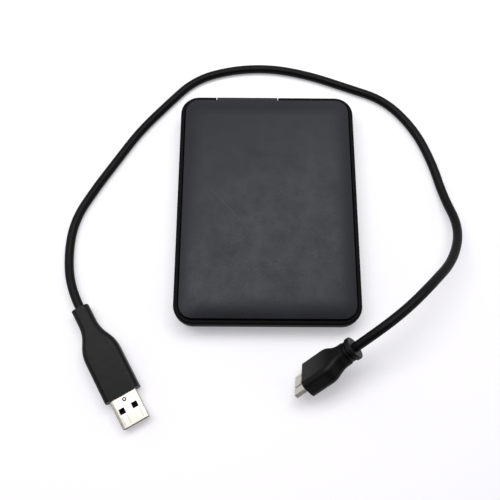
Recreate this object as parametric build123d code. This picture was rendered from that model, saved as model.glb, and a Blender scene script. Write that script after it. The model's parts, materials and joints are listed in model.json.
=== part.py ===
from build123d import *
import math
import os

# A pocket-size external hard drive and its USB lead, in millimetres.
# The origin is under the middle of the drive, +Y points at the socket edge and +Z is up.

# Housing: outline, tray with a turned-in bottom edge, and crowned cover plate
body_width = 82.0
body_length = 110.6
body_height = 15.0
corner_radius = 8.7
foot_proud = 0.5
foot_recess = 0.4
foot_radius = 4.0
foot_edge_distance = 14.0
tray_floor = 1.5
tray_wall = 1.5
hull_inset = 3.2
turn_height = 6.8
ledge_width = 1.75
ledge_round = 1.2
groove_width = 0.8
seat_depth = 2.0
seat_rib = 1.0
plate_proud = 1.2
cover_wall = 1.5
cover_skirt = 1.0
roll_width = 9.0
roll_drop = 2.2
crown_corner = 2.5
crown_steps = 6
slide_gap = 0.05
joint_overlap = 0.8
hook_pitch = 18.0
hook_end_distance = 20.0
hook_width = 7.0
hook_thickness = 1.0
hook_gap = 0.1
hook_root = 0.4
hook_neck = 1.5
hook_barb = 0.5
hook_lip = 0.3

# Rear tongue of the cover, with the socket opening and the light pipe
tongue_centre = -9.4
tongue_width = 28.9
tongue_gap = 0.45
tongue_lip = 0.7
port_clearance = 0.45
port_margin = 0.32
light_pipe_radius = 1.0
light_pipe_flange = 1.6
light_pipe_offset = 11.2
light_pipe_flange_depth = 0.8
light_pipe_cover = 1.2
light_gap = 0.2
light_size = 1.4
light_width = 1.8
light_height = 0.9

# Inner drive: room round it in the housing, and its casting
drive_side_room = 6.075
drive_end_room = 5.3
drive_top_room = 1.4
drive_corner = 4.0
bumper_flange = 0.6
bumper_length = 11.5
bumper_grip = 3.0
bumper_clearance = 0.15
side_hole_rear = 14.0
side_hole_front = 9.4
side_hole_height = 3.0
side_screw_radius = 1.3
side_screw_depth = 2.4
side_screw_head = 2.1
side_screw_head_height = 0.7
board_gap = 0.2
board_thickness = 0.7
board_part_height = 0.7
board_edge_gap = 0.3
board_hole_inset = 3.2
board_hole_distance = 6.0
board_boss_radius = 2.2
board_screw_head = 1.7
board_screw_head_height = 0.35
board_spindle_distance = 7.0
small_part_width = 1.6
small_part_length = 0.8
small_part_height = 0.45
casting_floor = 0.55
rail_width = 3.4
lid_thickness = 0.5
lid_margin = 0.7
lid_bead_margin = 5.0
lid_bead_width = 2.0
lid_bead_depth = 0.2
lid_screw_inset = 4.0
gasket_thickness = 0.3
gasket_margin = 1.2
lid_screw_head = 2.0
lid_screw_head_height = 0.4
lid_screw_radius = 0.9
lid_screw_depth = 2.0
screw_gap = 0.05

# Spindle and discs
disc_side_wall = 2.425
disc_end_wall = 2.5
actuator_room = 32.5
disc_bore = 10.0
disc_thickness = 0.635
disc_pitch = 2.2
disc_floor_gap = 1.2
well_clearance = 0.7
running_gap = 0.05
shaft_radius = 1.95
sleeve_wall = 1.4
motor_recess = 1.1
motor_clearance = 0.4
motor_boss_wall = 4.6
stator_teeth = 9
stator_height = 1.2
rotor_thickness = 0.9
rotor_gap = 0.3
hub_skirt = 1.15
disc_flange = 1.45
clamp_thickness = 0.55
clamp_screw_radius = 1.0
clamp_screw_head = 2.6

# Head actuator and its voice-coil motor
pivot_side_distance = 19.925
pivot_disc_gap = 11.16
inner_reach = 7.66
park_clearance = 2.24
suspension_length = 9.0
tab_length = 2.0
fly_gap = 0.135
slider_height = 0.2
suspension_thickness = 0.15
arm_thickness = 0.6
arm_hub_radius = 6.2
bearing_radius = 4.5
pivot_radius = 2.0
coil_inner = 8.5
coil_outer = 17.0
coil_half_angle = 19.5
coil_thickness = 1.0
coil_strand = 2.1
coil_gap = 0.3
fork_angle = 5.5
coil_side = 180.0
yoke_inner = 7.5
yoke_outer = 17.8
yoke_thickness = 0.9
yoke_lead_angle = 41.8
yoke_trail_angle = 76.2
magnet_angle = 15.5
post_angle = 7.0
post_ring = 13.0
post_radius = 1.4
bay_wall = 1.5
bay_margin = 0.425
yoke_room = 1.2
stop_wall = 0.5
ramp_gap = 0.7
ramp_depth = 2.8
ramp_play = 0.15
ramp_lead_angle = 5.5
ramp_trail_angle = 1.5
bracket_reach = 13.0
bracket_step = 3.0

# Micro-B socket and plug section
micro_main_width = 6.9
micro_side_width = 4.3
micro_width = 12.2
micro_height = 1.8
micro_bridge = 1.0
micro_chamfer = 0.6
micro_wall = 0.25
micro_fit = 0.12
micro_tongue = 0.55
socket_depth = 7.0

# Lead: cable, USB-A plug and micro-B plug
cable_diameter = 4.1
plug_a_x = -82.6
plug_a_y = -47.2
plug_a_angle = -60.1
plug_a_width = 15.9
plug_a_thickness = 8.0
plug_a_length = 42.9
plug_a_neck_width = 7.7
plug_a_neck_thickness = 6.6
plug_a_neck = 7.0
plug_a_shoulder = 17.0
plug_a_round = 2.3
shell_a_width = 12.0
shell_a_height = 4.5
shell_a_wall = 0.3
shell_a_length = 12.9
shell_grip = 2.0
window_size = 2.5
window_spacing = 5.8
window_distance = 6.0
mark_distance = 2.0
mark_radius = 0.75
mark_inner = 0.4
mark_depth = 0.1
plug_b_x = 35.1
plug_b_y = -66.1
plug_b_yaw = 212.9
plug_b_tilt = 32.0
plug_b_roll = 58.8
plug_b_width = 16.4
plug_b_thickness = 8.4
plug_b_length = 25.3
plug_b_round = 2.3
plug_b_flange = 5.0
plug_b_flange_length = 1.8
plug_b_flange_round = 0.5
plug_b_collar = 4.4
plug_b_collar_length = 2.8
plug_b_slot = 0.55
plug_b_slot_depth = 0.7
plug_b_neck = 1.2
plug_b_neck_width = 9.0
plug_b_neck_thickness = 7.6
plug_b_shoulder = 9.5
latch_distance = 3.0
latch_length = 1.5
latch_width = 0.8
latch_rise = 0.25
latch_spread = 2.0
shell_b_length = 6.7
lead_run_a = 10.0
lead_run_b = 13.5

# Heights that follow from the sizes above
floor_top = foot_proud + tray_floor
ceiling = body_height - cover_wall
roll_base = body_height - roll_drop
ledge_height = roll_base - plate_proud
seat_height = ledge_height - seat_depth
rib_bottom = seat_height - seat_rib
bend_height = foot_proud + turn_height
drive_bottom = floor_top + bumper_flange
drive_top = ceiling - drive_top_room
board_bottom = drive_bottom + board_gap
board_top = board_bottom + board_thickness
recess_top = board_top + board_part_height
well_floor = recess_top + casting_floor
lid_under = drive_top - lid_thickness
casting_top = lid_under - gasket_thickness
lower_disc = well_floor + disc_floor_gap
upper_disc = lower_disc + disc_pitch
disc_stack_top = upper_disc + disc_thickness
head_room = fly_gap + slider_height + suspension_thickness
port_height = board_top + micro_height / 2 + micro_fit + micro_wall
tongue_bottom = port_height - micro_height / 2 - port_clearance - port_margin

# Plan positions that follow from the sizes above
hull_radius = (turn_height ** 2 + hull_inset ** 2) / (2 * hull_inset)
plate_edge = ledge_width + groove_width
roll_end = plate_edge + roll_width
roll_radius = (roll_width ** 2 + roll_drop ** 2) / (2 * roll_drop)
roll_angle = math.asin(roll_width / roll_radius)
skirt_inner = plate_edge + cover_skirt
seat_inner = skirt_inner + slide_gap
drive_width = body_width - 2 * drive_side_room
drive_length = body_length - 2 * drive_end_room
drive_rear = drive_length / 2
disc_across = drive_width - 2 * disc_side_wall
disc_along = drive_length - disc_end_wall - actuator_room
disc_radius = min(disc_across, disc_along) / 2
well_radius = disc_radius + well_clearance
spindle_y = disc_end_wall + disc_radius - drive_rear
hub_radius = disc_bore - running_gap
skirt_inner_radius = hub_radius - hub_skirt
rotor_inner = skirt_inner_radius - rotor_thickness
stator_radius = rotor_inner - rotor_gap

# Actuator: the parked heads stand clear of the discs, and swing in to the hub
pivot_reach = disc_radius + pivot_disc_gap
pivot_x = drive_width / 2 - pivot_side_distance
pivot_y = spindle_y + math.sqrt(pivot_reach ** 2 - pivot_x ** 2)
head_radius = pivot_reach - inner_reach
tab_radius = head_radius + tab_length
arm_length = head_radius - suspension_length
parked_reach = disc_radius + park_clearance
park_cosine = (pivot_reach ** 2 + head_radius ** 2 - parked_reach ** 2) / (2 * pivot_reach * head_radius)
spindle_angle = math.degrees(math.atan2(spindle_y - pivot_y, -pivot_x)) + 360
park_angle = spindle_angle - math.degrees(math.acos(park_cosine))
coil_angle = park_angle - coil_side
yoke_start = coil_angle - yoke_lead_angle
yoke_end = coil_angle + yoke_trail_angle
ramp_inner = tab_radius + ramp_gap
ramp_outer = ramp_inner + ramp_depth
ramp_start = park_angle - ramp_lead_angle
ramp_end = park_angle + ramp_trail_angle

nodes = {}


def slab(sketch, bottom, top):
    """Solid between two heights over a plan sketch."""
    return extrude(Pos(0, 0, bottom) * sketch, amount=top - bottom)


def block(x0, x1, y0, y1, z0, z1):
    """Box between its two corners."""
    return Pos((x0 + x1) / 2, (y0 + y1) / 2, (z0 + z1) / 2) * Box(x1 - x0, y1 - y0, z1 - z0)


def disc(radius, bottom, top, x=0.0, y=0.0):
    """Upright cylinder between two heights."""
    return Pos(x, y, (bottom + top) / 2) * Cylinder(radius, top - bottom)


def ring(outer, inner, bottom, top, x=0.0, y=0.0):
    """Upright tube between two heights."""
    return disc(outer, bottom, top, x, y) - disc(inner, bottom, top, x, y)


def polar(radius, angle):
    """Plan point at a radius and an angle in degrees."""
    return (radius * math.cos(math.radians(angle)), radius * math.sin(math.radians(angle)))


def polygon(*points):
    """Plan face with straight sides."""
    return make_face(Polyline(*points, close=True))


def sector(inner, outer, start, end):
    """Face between two radii and two angles in degrees."""
    middle = (start + end) / 2
    reach = 2 * outer
    wedge = polygon((0, 0), polar(reach, start), polar(reach, middle), polar(reach, end))
    return (Circle(outer) - Circle(inner)) & wedge


def bundle(*pieces):
    """Several separate solids as one sub-part."""
    return Compound(children=[solid for piece in pieces for solid in piece.solids()])


def hull_point(depth, height):
    """Point that lies depth inside the tray's side, as inward distance and height."""
    drop = max(bend_height - height, 0)
    reach = math.sqrt((hull_radius - depth) ** 2 - drop ** 2)
    return (hull_radius - reach, height)


def hull_arc(depth, start, end):
    """Arc of the turned-in bottom edge between two heights."""
    return ThreePointArc(
        hull_point(depth, start), hull_point(depth, (start + end) / 2), hull_point(depth, end)
    )


def roll_point(inward):
    """Point on the cover's rolled edge, at a distance in from the widest line."""
    run = max(roll_end - inward, 0)
    return (inward, body_height - roll_radius + math.sqrt(roll_radius ** 2 - run ** 2))


def roof(inward):
    """Height of the underside of the cover, at a distance in from the widest line."""
    return roll_point(inward - cover_skirt)[1] - cover_wall


def rounded(inset, corner):
    """Plan of the housing, drawn in from its widest line, with a corner radius."""
    return RectangleRounded(body_width - 2 * inset, body_length - 2 * inset, corner)


def outline(inset):
    """Plan of the housing, drawn in evenly from its widest line."""
    return rounded(inset, corner_radius - inset)


def crowned(inset, drop):
    """Cover form, drawn in and lowered: straight up from its seat, then rolled to a flat top."""
    edge_corner = corner_radius - inset
    sections = []
    for step in range(crown_steps + 1):
        angle = roll_angle * (1 - step / crown_steps)
        inward = roll_width - roll_radius * math.sin(angle)
        height = body_height - roll_radius * (1 - math.cos(angle)) - drop
        corner = edge_corner + (crown_corner - edge_corner) * inward / roll_width
        sections.append(Pos(0, 0, height) * rounded(inset + inward, corner))
    return slab(outline(inset), seat_height, roll_base - drop) + loft(sections)


def carry_round(section):
    """Carry a wall section, drawn inward and upward from the widest line, round the housing."""
    path = outline(0).wire()
    tangent = path % 0
    inward = Vector(0, 0, 1).cross(tangent)
    if (path @ 0 + inward).length > (path @ 0).length:
        inward = -inward
        tangent = -tangent
    start = Plane(origin=path @ 0, x_dir=inward, z_dir=tangent)
    return sweep(start * section, path=path)


def on_wall(section, foot, inward, width):
    """Extrude a wall section, drawn inward and upward, along the wall at a foot point."""
    upright = Vector(*inward).cross(Vector(0, 0, 1))
    return extrude(Plane(origin=foot, x_dir=inward, z_dir=upright) * section, amount=width / 2, both=True)


def micro_section(grow):
    """Two-lobed micro-B section, grown evenly outwards."""
    half = micro_width / 2
    tall = micro_height / 2 + grow
    main_end = -half + micro_main_width
    left = -half - grow
    right = main_end + grow
    chamfer = micro_chamfer + grow / 2
    main = polygon(
        (left + chamfer, -tall), (right - chamfer, -tall), (right, -tall + chamfer),
        (right, tall), (left, tall), (left, -tall + chamfer),
    )
    side_centre = half - micro_side_width / 2
    side = Pos(side_centre, 0) * Rectangle(micro_side_width + 2 * grow, 2 * tall)
    bridge = Pos(side_centre / 2, 0) * Rectangle(side_centre, micro_bridge + 2 * grow)
    return main + side + bridge


def across(distance):
    """Plane across a plug, looking out of its nose."""
    return Plane(origin=(distance, 0, 0), x_dir=(0, 1, 0), z_dir=(1, 0, 0))


def mould_outline(start, neck, shoulder, length, narrow, wide):
    """Half outline of a moulded grip, mirrored: a neck, an S-shaped shoulder and a straight end."""
    neck_end = start + neck
    bend = neck_end + shoulder / 2
    grip_start = neck_end + shoulder
    low = narrow / 2
    high = wide / 2
    half = make_face([
        Polyline((length, high), (length, 0), (start, 0), (start, low), (neck_end, low)),
        Bezier((neck_end, low), (bend, low), (bend, high), (grip_start, high)),
        Line((grip_start, high), (length, high)),
    ])
    return half + mirror(half, Plane.XZ)


def moulded_body(start, neck, shoulder, length, narrow, wide, radius):
    """Grip whose plan and side view both widen over a shoulder, with rounded long edges."""
    plan = mould_outline(start, neck, shoulder, length, narrow[0], wide[0])
    side_view = mould_outline(start, neck, shoulder, length, narrow[1], wide[1])
    body = extrude(plan, amount=wide[1], both=True)
    body &= extrude(Plane.XZ * side_view, amount=wide[0], both=True)
    long_edges = [edge for edge in body.edges() if edge.bounding_box().size.X > radius / 2]
    return fillet(long_edges, radius)


# Bottom tray: turned-in bottom, a rounded ledge round the plate and a rib that carries the cover
floor_edge = hull_point(tray_wall, floor_top)[0] + joint_overlap
tray_section = make_face([
    hull_arc(0, foot_proud, bend_height),
    Line((0, bend_height), (0, ledge_height - ledge_round)),
    TangentArc((0, ledge_height - ledge_round), (ledge_round, ledge_height), tangent=(0, 1)),
    Polyline(
        (ledge_round, ledge_height), (ledge_width, ledge_height), (ledge_width, seat_height),
        (seat_inner, seat_height), (seat_inner, rib_bottom), (tray_wall, bend_height),
    ),
    hull_arc(tray_wall, bend_height, floor_top),
    Polyline(
        hull_point(tray_wall, floor_top), (floor_edge, floor_top), (floor_edge, foot_proud),
        hull_point(0, foot_proud),
    ),
])
tray = carry_round(tray_section) + slab(outline(floor_edge), foot_proud, floor_top)
tongue_left = tongue_centre - tongue_width / 2
tongue_right = tongue_centre + tongue_width / 2
rear_face = body_length / 2
tray -= block(
    tongue_left - tongue_gap, tongue_right + tongue_gap, rear_face - floor_edge, rear_face + 1,
    tongue_bottom - tongue_gap, body_height,
)
foot_x = body_width / 2 - foot_edge_distance
foot_y = body_length / 2 - foot_edge_distance
foot_places = [(x, y) for x in (-foot_x, foot_x) for y in (-foot_y, foot_y)]
for x, y in foot_places:
    tray -= disc(foot_radius + slide_gap, foot_proud, foot_proud + foot_recess, x, y)
nodes["bottom_tray"] = tray
for name, (x, y) in zip(("front_left", "rear_left", "front_right", "rear_right"), foot_places):
    foot = disc(foot_radius, 0, foot_proud + foot_recess, x, y)
    bottom_edge = foot.edges().group_by(Axis.Z)[0]
    nodes["rubber_foot_" + name] = chamfer(bottom_edge, foot_proud / 3)

# Top cover: crowned plate, skirt in the groove, snap hooks and the tongue over the rear wall
cover = crowned(plate_edge, 0) - crowned(skirt_inner, cover_wall)
tongue_top = roll_point(tongue_lip)[1]
tongue_slope = math.asin((roll_end - tongue_lip) / roll_radius)
tongue_face_top = tongue_top - tongue_lip * math.cos(tongue_slope) / (1 - math.sin(tongue_slope))
tongue_section = make_face([
    ThreePointArc((plate_edge, roll_base), roll_point((plate_edge + tongue_lip) / 2), (tongue_lip, tongue_top)),
    TangentArc((0, tongue_face_top), (tongue_lip, tongue_top), tangent=(0, 1)),
    Line((0, tongue_face_top), (0, bend_height)),
    hull_arc(0, bend_height, tongue_bottom),
    Line(hull_point(0, tongue_bottom), hull_point(cover_wall, tongue_bottom)),
    hull_arc(cover_wall, tongue_bottom, bend_height),
    Polyline(
        (cover_wall, bend_height), (cover_wall, seat_height), (skirt_inner, seat_height),
        (skirt_inner, roll_base - cover_wall), (plate_edge, roll_base),
    ),
])
cover += on_wall(tongue_section, (tongue_centre, rear_face, 0), (0, -1, 0), tongue_width)
hook_arm = seat_inner + hook_gap
hook_tip = hook_arm - hook_barb
barb_top = rib_bottom - hook_gap
hook_end = barb_top - 2 * hook_barb - hook_lip
hook_top = seat_height + hook_neck
hook_section = polygon(
    (skirt_inner - hook_root, hook_top), (hook_arm + hook_thickness, hook_top),
    (hook_arm + hook_thickness, hook_end), (hook_arm, hook_end), (hook_tip, hook_end + hook_barb),
    (hook_tip, barb_top - hook_barb), (hook_arm, barb_top), (hook_arm, seat_height + hook_gap),
    (skirt_inner - hook_root, seat_height + hook_gap),
)
hook_walls = [((hook_end_distance, rear_face, 0), (0, -1, 0))]
for sign in (-1, 1):
    hook_walls.append(((sign * hook_end_distance, -rear_face, 0), (0, 1, 0)))
    for row in (-1, 0, 1):
        hook_walls.append(((sign * body_width / 2, row * hook_pitch, 0), (-sign, 0, 0)))
for foot, inward in hook_walls:
    cover += on_wall(hook_section, foot, inward, hook_width)
port = Plane(origin=(tongue_centre, rear_face + 1, port_height), x_dir=(1, 0, 0), z_dir=(0, -1, 0))
port_reach = 1 + hull_point(cover_wall, tongue_bottom)[0]
cover -= extrude(port * micro_section(port_clearance), amount=port_reach)
pipe_x = tongue_centre + light_pipe_offset
pipe_height = board_top + light_pipe_radius
pipe_axis = Plane(origin=(pipe_x, rear_face + 1, pipe_height), x_dir=(1, 0, 0), z_dir=(0, -1, 0))
cover -= extrude(pipe_axis * Circle(light_pipe_radius + slide_gap), amount=port_reach)
nodes["top_cover"] = cover

# Light pipe: flush with the rear wall, with a flange behind it
wall_front = rear_face - hull_point(0, pipe_height)[0]
flange_rear = rear_face - hull_point(cover_wall, pipe_height - light_pipe_flange)[0]
pipe_rear = drive_rear - light_pipe_cover
pipe = extrude(pipe_axis * Circle(light_pipe_radius), amount=rear_face + 1 - pipe_rear)
pipe &= block(-body_width, body_width, 0, wall_front, 0, body_height)
flange_start = pipe_axis.offset(rear_face + 1 - flange_rear + slide_gap)
pipe += extrude(flange_start * Circle(light_pipe_flange), amount=light_pipe_flange_depth)
nodes["light_pipe"] = pipe

# Inner drive: casting with a round disc well, an actuator bay and a board recess below
side = drive_width / 2
bay_right = side - bay_wall
bay_corner_x = pivot_x + yoke_outer / 2
bay_corner_y = pivot_y + yoke_outer + yoke_room
bay_left = pivot_x - ramp_outer - bay_margin
bay_step_y = bay_corner_y - 3.5
bay_low_y = pivot_y + polar(ramp_outer, ramp_end)[1] - bay_margin
bay = polygon(
    (bay_right, spindle_y), (bay_right, pivot_y + 5.0), (bay_corner_x, bay_corner_y),
    (pivot_x - 5.0, bay_corner_y), (pivot_x - 11.0, bay_step_y), (bay_left, bay_step_y),
    (bay_left, bay_low_y), (0, spindle_y),
)
well = Pos(0, spindle_y) * Circle(well_radius)
pocket = bay + well
drive_plan = RectangleRounded(drive_width, drive_length, drive_corner)
motor_radius = disc_bore + motor_clearance
motor_boss = motor_radius + motor_boss_wall
board_front = spindle_y + board_spindle_distance
recess_half = side - rail_width
recess = Rectangle(2 * recess_half, drive_rear - board_front)
recess = Pos(0, (drive_rear + board_front) / 2) * recess
recess -= Pos(0, spindle_y) * Circle(motor_boss)
casting = slab(drive_plan, drive_bottom, casting_top)
casting -= slab(pocket, well_floor, casting_top)
casting -= slab(recess, drive_bottom, recess_top)
casting -= disc(motor_radius, well_floor - motor_recess, well_floor, 0, spindle_y)
board_hole_x = recess_half - board_hole_inset
board_hole_rows = (board_front + board_hole_distance, drive_rear - board_hole_distance)
board_holes = [(x, y) for x in (-board_hole_x, board_hole_x) for y in board_hole_rows]
board_screw_top = recess_top + 0.3
for x, y in board_holes:
    casting += disc(board_boss_radius, board_top, recess_top, x, y)
    casting -= disc(lid_screw_radius + screw_gap, board_top, board_screw_top, x, y)
socket_front = rear_face - hull_point(cover_wall, board_top)[0] - 0.1
socket_rear = socket_front - socket_depth
notch_half = micro_width / 2 + micro_fit + micro_wall + 0.9
casting -= block(
    tongue_centre - notch_half, pipe_x + light_pipe_radius + 0.9, socket_rear - 1.4, drive_rear,
    drive_bottom, port_height + micro_height / 2 + micro_fit + micro_wall + 0.3,
)
lid_corner_x = side - lid_screw_inset
lid_corner_y = drive_rear - lid_screw_inset
lid_holes = [(x, y) for x in (-lid_corner_x, lid_corner_x) for y in (-lid_corner_y, lid_corner_y)]
lid_holes.append((tongue_centre, lid_corner_y))
lid_screw_end = casting_top - lid_screw_depth
for x, y in lid_holes:
    casting -= disc(lid_screw_radius + screw_gap, lid_screw_end, casting_top, x, y)
side_holes = [drive_rear - side_hole_rear, side_hole_front - drive_rear]
side_axis_height = drive_bottom + side_hole_height
for y in side_holes:
    for sign in (-1, 1):
        hole = Rot(0, 90, 0) * Cylinder(side_screw_radius + screw_gap, 2 * side_screw_depth + 0.4)
        casting -= Pos(sign * side, y, side_axis_height) * hole
nodes["base_casting"] = casting

# Gasket, lid and lid screws
gasket_plan = RectangleRounded(
    drive_width - 2 * gasket_margin, drive_length - 2 * gasket_margin, drive_corner - gasket_margin
)
gasket = slab(gasket_plan - pocket, casting_top, lid_under)
lid_plan = RectangleRounded(
    drive_width - 2 * lid_margin, drive_length - 2 * lid_margin, drive_corner - lid_margin
)
lid = slab(lid_plan, lid_under, drive_top)
lid_screws = []
for x, y in lid_holes + [(pivot_x, pivot_y)]:
    clear = disc(lid_screw_radius + screw_gap, casting_top, drive_top, x, y)
    gasket -= clear
    lid -= clear
    screw = disc(lid_screw_head, drive_top, drive_top + lid_screw_head_height, x, y)
    screw += disc(lid_screw_radius, lid_screw_end + 0.3, drive_top, x, y)
    socket = extrude(Pos(x, y, drive_top + 0.1) * RegularPolygon(0.8, 6), amount=1)
    lid_screws.append(screw - socket)
bead_radius = disc_radius - lid_bead_margin
lid_bead = Circle(bead_radius) - Circle(bead_radius - lid_bead_width)
lid -= slab(Pos(0, spindle_y) * lid_bead, drive_top - lid_bead_depth, drive_top)
nodes["lid_gasket"] = gasket
nodes["drive_lid"] = lid
nodes["lid_screws"] = bundle(*lid_screws)

# Rubber bumpers: C-shaped shoes that hold the drive between the tray floor and the cover
bumper_inset = max(hull_point(tray_wall, drive_bottom)[0], seat_inner) + bumper_clearance
bumper_outer = body_width / 2 - bumper_inset
bumper_toe = body_width / 2 - hull_point(tray_wall, floor_top)[0] - bumper_clearance
grip_inset = drive_side_room + bumper_grip
bumper_plan = polygon(
    (side - bumper_grip, floor_top), (bumper_toe, floor_top), (bumper_outer, drive_bottom),
    (bumper_outer, roof(bumper_inset) - bumper_clearance), (side, roof(drive_side_room) - bumper_clearance),
    (side - bumper_grip, roof(grip_inset) - bumper_clearance), (side - bumper_grip, drive_top),
    (side, drive_top), (side, drive_bottom),
    (side - bumper_grip, drive_bottom),
)
head_face = bumper_outer - 0.1
head_seat = head_face - side_screw_head_height
shank_length = head_seat - side + side_screw_depth
bumper_centres = [side_holes[0], side_holes[1] + bumper_length / 4]
for level, hole_y, centre_y in zip(("rear", "front"), side_holes, bumper_centres):
    for hand, sign in (("left", -1), ("right", 1)):
        upright = Plane(origin=(0, centre_y, 0), x_dir=(1, 0, 0), z_dir=(0, -1, 0))
        bumper = extrude(upright * bumper_plan, amount=bumper_length / 2, both=True)
        axis = Plane(origin=(head_seat, hole_y, side_axis_height), x_dir=(0, 1, 0), z_dir=(1, 0, 0))
        bumper -= extrude(axis * Circle(side_screw_head + slide_gap), amount=5)
        bumper -= extrude(axis * Circle(side_screw_radius + screw_gap), amount=-5)
        screw = extrude(axis * Circle(side_screw_head), amount=side_screw_head_height)
        screw += extrude(axis * Circle(side_screw_radius), amount=-shank_length)
        recess_face = axis.offset(side_screw_head_height - 0.3)
        screw -= extrude(recess_face * RegularPolygon(0.9, 6), amount=1)
        if sign < 0:
            bumper = mirror(bumper, Plane.YZ)
            screw = mirror(screw, Plane.YZ)
        nodes["bumper_" + level + "_" + hand] = bumper
        nodes["bumper_screw_" + level + "_" + hand] = screw

# Spindle motor: fixed sleeve, stator and coils
motor_floor = well_floor - motor_recess
sleeve_bore = shaft_radius + running_gap
sleeve_radius = sleeve_bore + sleeve_wall
stator_bottom = motor_floor + 0.9
stator_top = stator_bottom + stator_height
coil_margin = 0.3
hub_web = stator_top + coil_margin + 0.4
sleeve_top = hub_web + 1.5
sleeve = ring(sleeve_radius, sleeve_bore, motor_floor, sleeve_top, 0, spindle_y)
sleeve += ring(sleeve_radius + 1.0, sleeve_radius, motor_floor, stator_bottom, 0, spindle_y)
nodes["spindle_sleeve"] = sleeve
stator_ring = sleeve_radius + 1.2
tooth_width = 1.1
tooth_tip_angle = 13.0
stator = ring(stator_ring, sleeve_radius + 0.02, stator_bottom, stator_top)
coils = []
tooth_middle = (stator_ring + stator_radius - 0.8) / 2
coil_length = stator_radius - 0.8 - stator_ring - 0.3
for index in range(stator_teeth):
    turn = Rot(0, 0, 360 / stator_teeth * index)
    tooth = block(
        stator_ring - 0.2, stator_radius - 0.4, -tooth_width / 2, tooth_width / 2,
        stator_bottom, stator_top,
    )
    tip_plan = sector(stator_radius - 0.8, stator_radius, -tooth_tip_angle, tooth_tip_angle)
    tip = slab(tip_plan, stator_bottom, stator_top)
    stator += turn * (tooth + tip)
    winding = block(
        tooth_middle - coil_length / 2, tooth_middle + coil_length / 2,
        -tooth_width / 2 - coil_margin, tooth_width / 2 + coil_margin,
        stator_bottom - coil_margin, stator_top + coil_margin,
    )
    coils.append(Pos(0, spindle_y) * turn * (winding - tooth))
nodes["stator_core"] = Pos(0, spindle_y) * stator
nodes["stator_coils"] = bundle(*coils)

# Spindle: hub with its shaft, rotor magnet, discs, spacer, clamp and screw
skirt_bottom = motor_floor + 0.4
hub_top = disc_stack_top - 0.03
hub_plan = polygon(
    (0, motor_floor + 0.2), (shaft_radius, motor_floor + 0.2), (shaft_radius, sleeve_top + 0.15),
    (sleeve_radius + 0.2, sleeve_top + 0.15), (sleeve_radius + 0.2, hub_web),
    (skirt_inner_radius, hub_web), (skirt_inner_radius, skirt_bottom), (hub_radius, skirt_bottom),
    (hub_radius, lower_disc - 0.6), (hub_radius + disc_flange, lower_disc - 0.6),
    (hub_radius + disc_flange, lower_disc), (hub_radius, lower_disc), (hub_radius, hub_top),
    (0, hub_top),
)
hub = revolve(Plane.XZ * hub_plan, axis=Axis.Z)
clamp_screw_end = hub_top - 1.6
hub -= disc(clamp_screw_radius + screw_gap, clamp_screw_end, hub_top)
nodes["spindle_hub"] = Pos(0, spindle_y) * hub
nodes["rotor_magnet"] = ring(skirt_inner_radius, rotor_inner, skirt_bottom, hub_web, 0, spindle_y)
lower_top = lower_disc + disc_thickness
nodes["lower_platter"] = ring(disc_radius, disc_bore, lower_disc, lower_top, 0, spindle_y)
nodes["upper_platter"] = ring(disc_radius, disc_bore, upper_disc, disc_stack_top, 0, spindle_y)
spacer_radius = hub_radius + disc_flange
nodes["platter_spacer"] = ring(spacer_radius, disc_bore, lower_top, upper_disc, 0, spindle_y)
clamp_top = disc_stack_top + clamp_thickness
clamp = ring(spacer_radius, clamp_screw_radius + screw_gap, disc_stack_top, clamp_top)
for index in range(6):
    clamp -= Rot(0, 0, 60 * index) * disc(1.0, disc_stack_top, clamp_top, spacer_radius * 0.6, 0)
nodes["disc_clamp"] = Pos(0, spindle_y) * clamp
clamp_screw = disc(clamp_screw_head, clamp_top, clamp_top + 0.6)
clamp_screw += disc(clamp_screw_radius, clamp_screw_end + 0.2, clamp_top)
clamp_screw -= extrude(Pos(0, 0, clamp_top + 0.2) * RegularPolygon(1.1, 6), amount=1)
nodes["clamp_screw"] = Pos(0, spindle_y) * clamp_screw

# Head actuator: three arms on one hub, drawn along +X and turned to the parked angle
pivot = Pos(pivot_x, pivot_y, 0)
parked = pivot * Rot(0, 0, park_angle)
lower_arm_top = lower_disc - head_room
middle_arm_bottom = lower_top + head_room
middle_arm_top = upper_disc - head_room
upper_arm_bottom = disc_stack_top + head_room
arm_levels = [
    (lower_arm_top - arm_thickness + 0.1, lower_arm_top),
    (middle_arm_bottom, middle_arm_top),
    (upper_arm_bottom, upper_arm_bottom + arm_thickness),
]
hub_bottom = arm_levels[0][0]
block_top = arm_levels[2][1]
arm_root = arm_hub_radius * 0.85
arm_tip = 2.2
arm_plan = polygon((0, -arm_root), (arm_length, -arm_tip), (arm_length, arm_tip), (0, arm_root))
slot_start = arm_hub_radius + 2.5
slot_end = arm_length - 7.0
arm_plan -= polygon((slot_start, -2.9), (slot_end, -0.6), (slot_end, 0.6), (slot_start, 2.9))
arm_plan -= Pos(arm_length - 2.4, 0) * Circle(1.1)
arm_plan -= Circle(bearing_radius)
arm = ring(arm_hub_radius, bearing_radius, hub_bottom, block_top)
for bottom, top in arm_levels:
    arm += slab(arm_plan, bottom, top)
coil_plane = (middle_arm_bottom + middle_arm_top) / 2
coil_bottom = coil_plane - coil_thickness / 2
coil_top = coil_plane + coil_thickness / 2
fork_bottom = coil_bottom - 0.1
fork_top = coil_top + 0.1
fork_end = coil_outer - 2.0
fork_outer = coil_half_angle + fork_angle
fork_root = sector(arm_hub_radius - 0.4, coil_inner, coil_side - fork_outer, coil_side + fork_outer)
arm += slab(fork_root, fork_bottom, fork_top)
for sign in (-1, 1):
    near = coil_side + sign * coil_half_angle
    far = coil_side + sign * fork_outer
    finger = sector(coil_inner - 0.2, fork_end, min(near, far), max(near, far))
    arm += slab(finger, fork_bottom, fork_top)
nodes["actuator_arm"] = parked * arm
window_angle = coil_half_angle / 2
coil_plan = sector(coil_inner, coil_outer, coil_side - coil_half_angle, coil_side + coil_half_angle)
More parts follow.
